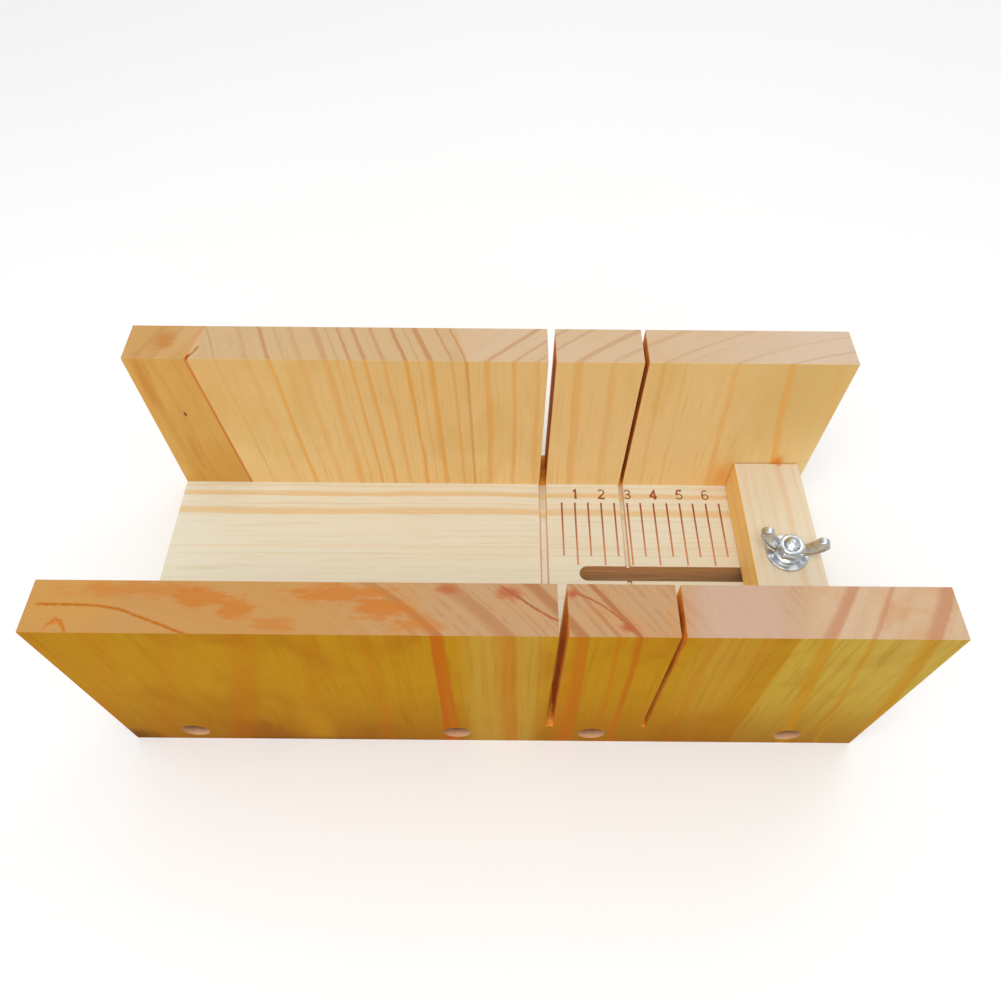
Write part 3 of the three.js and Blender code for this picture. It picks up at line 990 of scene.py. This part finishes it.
def bend(start, control, end):
    """Points of a curve from start to end that leans towards control. The start is left out."""
    points = []
    for i in range(1, CURVE_STEPS + 1):
        t = i / CURVE_STEPS
        place = start * (1 - t) ** 2 + control * 2 * t * (1 - t) + end * t * t
        points.append((place.x, place.y))
    return points


def wing_outline(inset):
    """One wing's outline in (reach, height), from the hub's foot round its tip to the hub's top."""
    top = NUT_HIGH.z - NUT_LOW.z - inset
    reach = WING_REACH - inset
    root = Vector((3.0 * MM, 0.6 * MM + inset))
    foot = Vector((4.4 * MM, 0.8 * MM + inset))
    belly = Vector((8.6 * MM - inset, 2.4 * MM + inset))
    under_tip = Vector((reach, top - WING_TIP_RADIUS - 0.4 * MM))
    radius = WING_TIP_RADIUS - inset * 0.5
    centre = Vector((reach - radius, top - radius))
    points = [tuple(root), tuple(foot)] + bend(foot, belly, under_tip)
    for i in range(1, CURVE_STEPS + 1):
        angle = math.radians(130) * i / CURVE_STEPS
        points.append((centre.x + radius * math.cos(angle), centre.y + radius * math.sin(angle)))
    shoulder = Vector((5.6 * MM, 5.6 * MM - inset))
    return points + bend(Vector(points[-1]), shoulder, Vector((3.0 * MM, 4.5 * MM - inset)))


def wing():
    """A wing standing in the XZ plane, each face recessed inside a raised rim."""
    half = 1.3 * MM
    # (how far inside the outline, how far in from the side), in millimetres
    layers = [(1.05, 0.5), (0.75, 0.0), (0.15, 0.0), (0.0, 0.12)]
    layers = [(inset * MM, depth * MM - half) for inset, depth in layers]
    layers += [(inset, -y) for inset, y in reversed(layers)]
    bm = bmesh.new()
    rings = [[bm.verts.new((x, y, z)) for x, z in wing_outline(inset)] for inset, y in layers]
    for first, second in zip(rings, rings[1:]):
        bridge(bm, first, second)
    bm.faces.new(rings[0])
    bm.faces.new(rings[-1])
    return bm


def nut_hub():
    """Round foot, a waist with six soft flats, and a chamfered rim at the top."""
    count = 72
    bm = bmesh.new()
    # (radius and height in millimetres, how much of the six flats shows)
    layers = [
        (4.75, 0.0, 0.0),
        (4.95, 0.2, 0.0),
        (4.95, 0.75, 0.0),
        (4.5, 1.05, 0.2),
        (4.1, 1.5, 0.8),
        (4.25, 3.6, 1.0),
        (4.4, 4.7, 0.7),
        (4.2, 5.15, 0.4),
        (3.7, 5.4, 0.0),
    ]
    rings = []
    for radius, height, facets in layers:
        verts = []
        for i in range(count):
            angle = i * math.tau / count
            flat = math.cos(math.pi / 6) / math.cos((angle % (math.pi / 3)) - math.pi / 6)
            reach = radius * (1 + facets * 0.8 * (flat - 1)) * MM
            verts.append(bm.verts.new((reach * math.cos(angle), reach * math.sin(angle), height * MM)))
        rings.append(verts)
    for lower, upper in zip(rings, rings[1:]):
        bridge(bm, lower, upper)
    bm.faces.new(list(reversed(rings[0])))
    bm.faces.new(rings[-1])
    return bm


def wing_nut(material):
    """Cast in one: hub and wings run together, with their joins and edges softened."""
    bm = nut_hub()
    for side in (0, math.pi):
        arm = wing()
        bmesh.ops.rotate(arm, verts=arm.verts, cent=(0, 0, 0), matrix=Matrix.Rotation(side, 3, "Z"))
        join_into(bm, arm)
    made = object_from(bm, "wing_nut")
    remesh = made.modifiers.new("fuse", "REMESH")
    remesh.mode = "VOXEL"
    remesh.voxel_size = NUT_VOXEL
    soften = made.modifiers.new("soften", "SMOOTH")
    soften.iterations = 5
    applied(made)
    profile = [(0, -1), (2.9, -1), (2.9, 0), (2.56, 0.35), (2.56, 5.15), (2.75, 5.35), (2.75, 12), (0, 12)]
    bore = turned([(radius * MM, height * MM) for radius, height in profile])
    cut_out(made, [object_from(bore, "bore_tool")])
    place = Matrix.Translation((CLAMP_X, CLAMP_Y, NUT_LOW.z)) @ Matrix.Rotation(NUT_TURN, 4, "Z")
    made.data.transform(place)
    smooth(made, math.radians(50))
    made.data.materials.append(material)
    return piece(made, "nut", "wing_nut")


def clamp_bolt(material):
    """A carriage bolt: a domed head, a square neck, and a rolled thread with a rounded end."""
    under_head = BOLT_LOW.z + BOLT_HEAD_HEIGHT
    neck_top = under_head + BOLT_NECK_HEIGHT
    tip = BOLT_HIGH.z
    stations = [(height, 1.0) for height in even_steps(neck_top - 0.2 * MM, tip - BOLT_TIP_HEIGHT, 0.08 * MM)]
    for i in range(1, 12):
        angle = math.radians(8 * i)
        stations.append((tip - BOLT_TIP_HEIGHT + BOLT_TIP_HEIGHT * math.sin(angle), math.cos(angle)))
    bm = threaded_rod(BOLT_RADIUS, BOLT_PITCH, BOLT_THREAD_DEPTH, stations, 48)
    head_radius = (BOLT_HIGH.x - BOLT_LOW.x) / 2
    rim = 0.35 * MM
    crown = [
        (head_radius * math.sin(a), under_head - rim - (BOLT_HEAD_HEIGHT - rim) * math.cos(a))
        for a in (i * math.pi / 2 / 12 for i in range(13))
    ]
    profile = [(0, crown[0][1])] + crown[1:] + [(head_radius, under_head - 0.1 * MM)]
    profile += [(head_radius - 0.1 * MM, under_head), (0, under_head)]
    join_into(bm, turned(profile, 72))
    neck = bmesh.new()
    low, high = under_head - 0.3 * MM, neck_top
    size = Matrix.Diagonal((2 * BOLT_RADIUS, 2 * BOLT_RADIUS, high - low, 1))
    bmesh.ops.create_cube(neck, size=1.0, matrix=Matrix.Translation((0, 0, (low + high) / 2)) @ size)
    bmesh.ops.bevel(neck, geom=neck.edges[:], offset=0.25 * MM, segments=3, profile=0.5, affect="EDGES")
    join_into(bm, neck)
    bmesh.ops.translate(bm, verts=bm.verts, vec=(CLAMP_X, CLAMP_Y, 0))
    return plain_piece(bm, "bolt", "clamp_bolt", material)


def washer(material):
    """A punched washer: rounded on the upper edge, sharp below."""
    inner = WASHER_HOLE_RADIUS
    outer = (WASHER_HIGH.x - WASHER_LOW.x) / 2
    low, high = WASHER_LOW.z, WASHER_HIGH.z
    ease = WASHER_EASE
    profile = [(inner, low), (outer - 0.05 * MM, low), (outer, low + 0.08 * MM), (outer, high - ease)]
    profile += [
        (outer - ease + ease * math.cos(a), high - ease + ease * math.sin(a))
        for a in (math.pi / 8, math.pi / 4, math.pi * 3 / 8, math.pi / 2)
    ]
    profile += [(inner + 0.15 * MM, high), (inner, high - 0.15 * MM), (inner, low)]
    bm = turned(profile, 96)
    bmesh.ops.translate(bm, verts=bm.verts, vec=(CLAMP_X, CLAMP_Y, 0))
    return plain_piece(bm, "stop", "washer", material)


def wood_screw(node, material):
    """A countersunk wood screw with a cross recess, its head outwards, as the CAD screw lies."""
    low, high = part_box(node)
    side = -1 if high.y < 0 else 1
    length = high.y - low.y
    head_radius = (high.x - low.x) / 2
    neck = -SCREW_HEAD_HEIGHT
    heights = even_steps(-length, 0.3 * MM - SCREW_HEAD_HEIGHT, 0.2 * MM)
    stations = [(height, min(1.0, 0.04 + (height + length) / SCREW_POINT)) for height in heights]
    bm = threaded_rod(SCREW_SHANK, SCREW_PITCH, SCREW_THREAD_DEPTH, stations, 24)
    cone = [(0, neck), (SCREW_SHANK, neck), (head_radius, -0.25 * MM), (head_radius, 0), (0, 0)]
    head = object_from(turned(cone, 48), "head")
    arms = []
    for turn in (SCREW_RECESS_TURN, SCREW_RECESS_TURN + math.pi / 2):
        arm = bmesh.new()
        size = Matrix.Diagonal((*SCREW_RECESS, 1))
        bmesh.ops.create_cube(arm, size=1.0, matrix=Matrix.Rotation(turn, 4, "Z") @ size)
        for vert in arm.verts:
            if vert.co.z < 0:
                vert.co.xy = vert.co.xy * SCREW_RECESS_TAPER
        arms.append(object_from(arm, "arm"))
    cut_out(head, arms)
    bm.from_mesh(head.data)
    bpy.data.objects.remove(head)
    outwards = Matrix.Rotation(-side * math.pi / 2, 4, "X")
    place = Vector(((low.x + high.x) / 2, low.y if side < 0 else high.y, (low.z + high.z) / 2))
    bmesh.ops.transform(bm, matrix=Matrix.Translation(place) @ outwards, verts=bm.verts)
    return plain_piece(bm, "box", node, material)


# ---------------------------------------------------------------- studio

CAMERA_PLACE = (1.174 * MM, -139.34 * MM, 266.533 * MM)
CAMERA_PITCH = math.radians(55.605)
CAMERA_YAW = math.radians(0.143)
CAMERA_ROLL = math.radians(0.602)
LENS_MM = 28.508


def add_camera():
    data = bpy.data.cameras.new("camera")
    data.lens = LENS_MM
    data.sensor_width = 36
    data.clip_start = 0.01
    data.clip_end = 20
    camera = bpy.data.objects.new("camera", data)
    turn = Matrix.Rotation(-CAMERA_YAW, 4, "Z") @ Matrix.Rotation(math.pi / 2 - CAMERA_PITCH, 4, "X")
    camera.matrix_world = Matrix.Translation(CAMERA_PLACE) @ turn @ Matrix.Rotation(CAMERA_ROLL, 4, "Z")
    bpy.context.scene.collection.objects.link(camera)
    bpy.context.scene.camera = camera


def add_area_light(name, place, target, size, power, colour):
    data = bpy.data.lights.new(name, "AREA")
    data.shape = "DISK"
    data.size = size
    data.energy = power
    data.color = colour
    light = bpy.data.objects.new(name, data)
    light.location = place
    light.rotation_euler = (Vector(target) - Vector(place)).to_track_quat("-Z", "Y").to_euler()
    bpy.context.scene.collection.objects.link(light)


def add_world():
    """Soft light from all round, brighter overhead than at the horizon."""
    world = bpy.data.worlds.new("studio")
    bpy.context.scene.world = world
    world.use_nodes = True
    tree = world.node_tree
    background = tree.nodes["Background"]
    place = tree.nodes.new("ShaderNodeTexCoord")
    split = tree.nodes.new("ShaderNodeSeparateXYZ")
    ramp = tree.nodes.new("ShaderNodeValToRGB")
    ramp.color_ramp.elements[0].color = (0.42, 0.42, 0.43, 1)
    ramp.color_ramp.elements[1].color = (1.0, 1.0, 1.0, 1)
    ramp.color_ramp.elements[1].position = 0.8
    tree.links.new(place.outputs["Generated"], split.inputs[0])
    tree.links.new(split.outputs["Z"], ramp.inputs["Fac"])
    tree.links.new(ramp.outputs["Color"], background.inputs["Color"])
    background.inputs["Strength"].default_value = 0.86


def add_floor():
    bm = bmesh.new()
    bmesh.ops.create_grid(bm, x_segments=1, y_segments=1, size=3.0)
    floor = object_from(bm, "floor")
    g = Graph("floor_paper")
    tone = g.noise(g.scaled(g.places(), (0.004, 0.004, 0.004)), 2.0)
    colour = g.mix(tone, srgb(238, 238, 238), srgb(242, 242, 242))
    floor.data.materials.append(g.finish(colour, 0.8, Specular_IOR_Level=0.2))


# ---------------------------------------------------------------- the scene

add_camera()
add_world()
add_floor()
add_area_light("key", (-0.15, -0.45, 1.15), (0, 0, 0.03), 0.8, 7.5, (1.0, 0.99, 0.97))
add_area_light("fill", (0.5, 0.6, 0.8), (0, 0, 0.03), 0.6, 1.0, (1.0, 1.0, 1.0))
bpy.context.scene.view_settings.view_transform = "Standard"

burnt_kerf = scorched_wood("burnt_kerf", srgb(218, 134, 28), srgb(246, 184, 84), (0.5, 0.5, 0.06))
milled_slot = scorched_wood("milled_slot", srgb(210, 168, 116), srgb(236, 198, 150), (0.06, 1.2, 1.4))
hole_painted_shade = screw_hole_painted_shade()
scorch = engraving_scorch()
zinc = zinc_plate("zinc_plate", srgb(212, 217, 222), srgb(180, 187, 193), 0.26)
yellow_zinc = zinc_plate("yellow_zinc", srgb(206, 180, 122), srgb(164, 138, 86), 0.3)

wall("front_wall", FRONT_LOW, FRONT_HIGH, [front_wall_wood(), burnt_kerf, hole_painted_shade])
crack_line = [(-99.4, 39.5), (-98.9, 41.2), (-97.6, 42.8), (-96.9, 44.4), (-96.3, 46)]
crack_widths = [1.0, 1.2, 0.7, 0.9, 0.2]
crack = [(x * MM, y * MM) for x, y in crack_line], [width * MM for width in crack_widths]
wall("rear_wall", REAR_LOW, REAR_HIGH, [rear_wall_wood(), burnt_kerf, hole_painted_shade], [crack])
base_board([base_board_wood(), scorch, milled_slot])
stop_block(stop_block_wood())
wing_nut(zinc)
clamp_bolt(zinc)
washer(zinc)
for side in ("front", "rear"):
    for number in range(1, 5):
        wood_screw(f"{side}_screw_{number}", yellow_zinc)
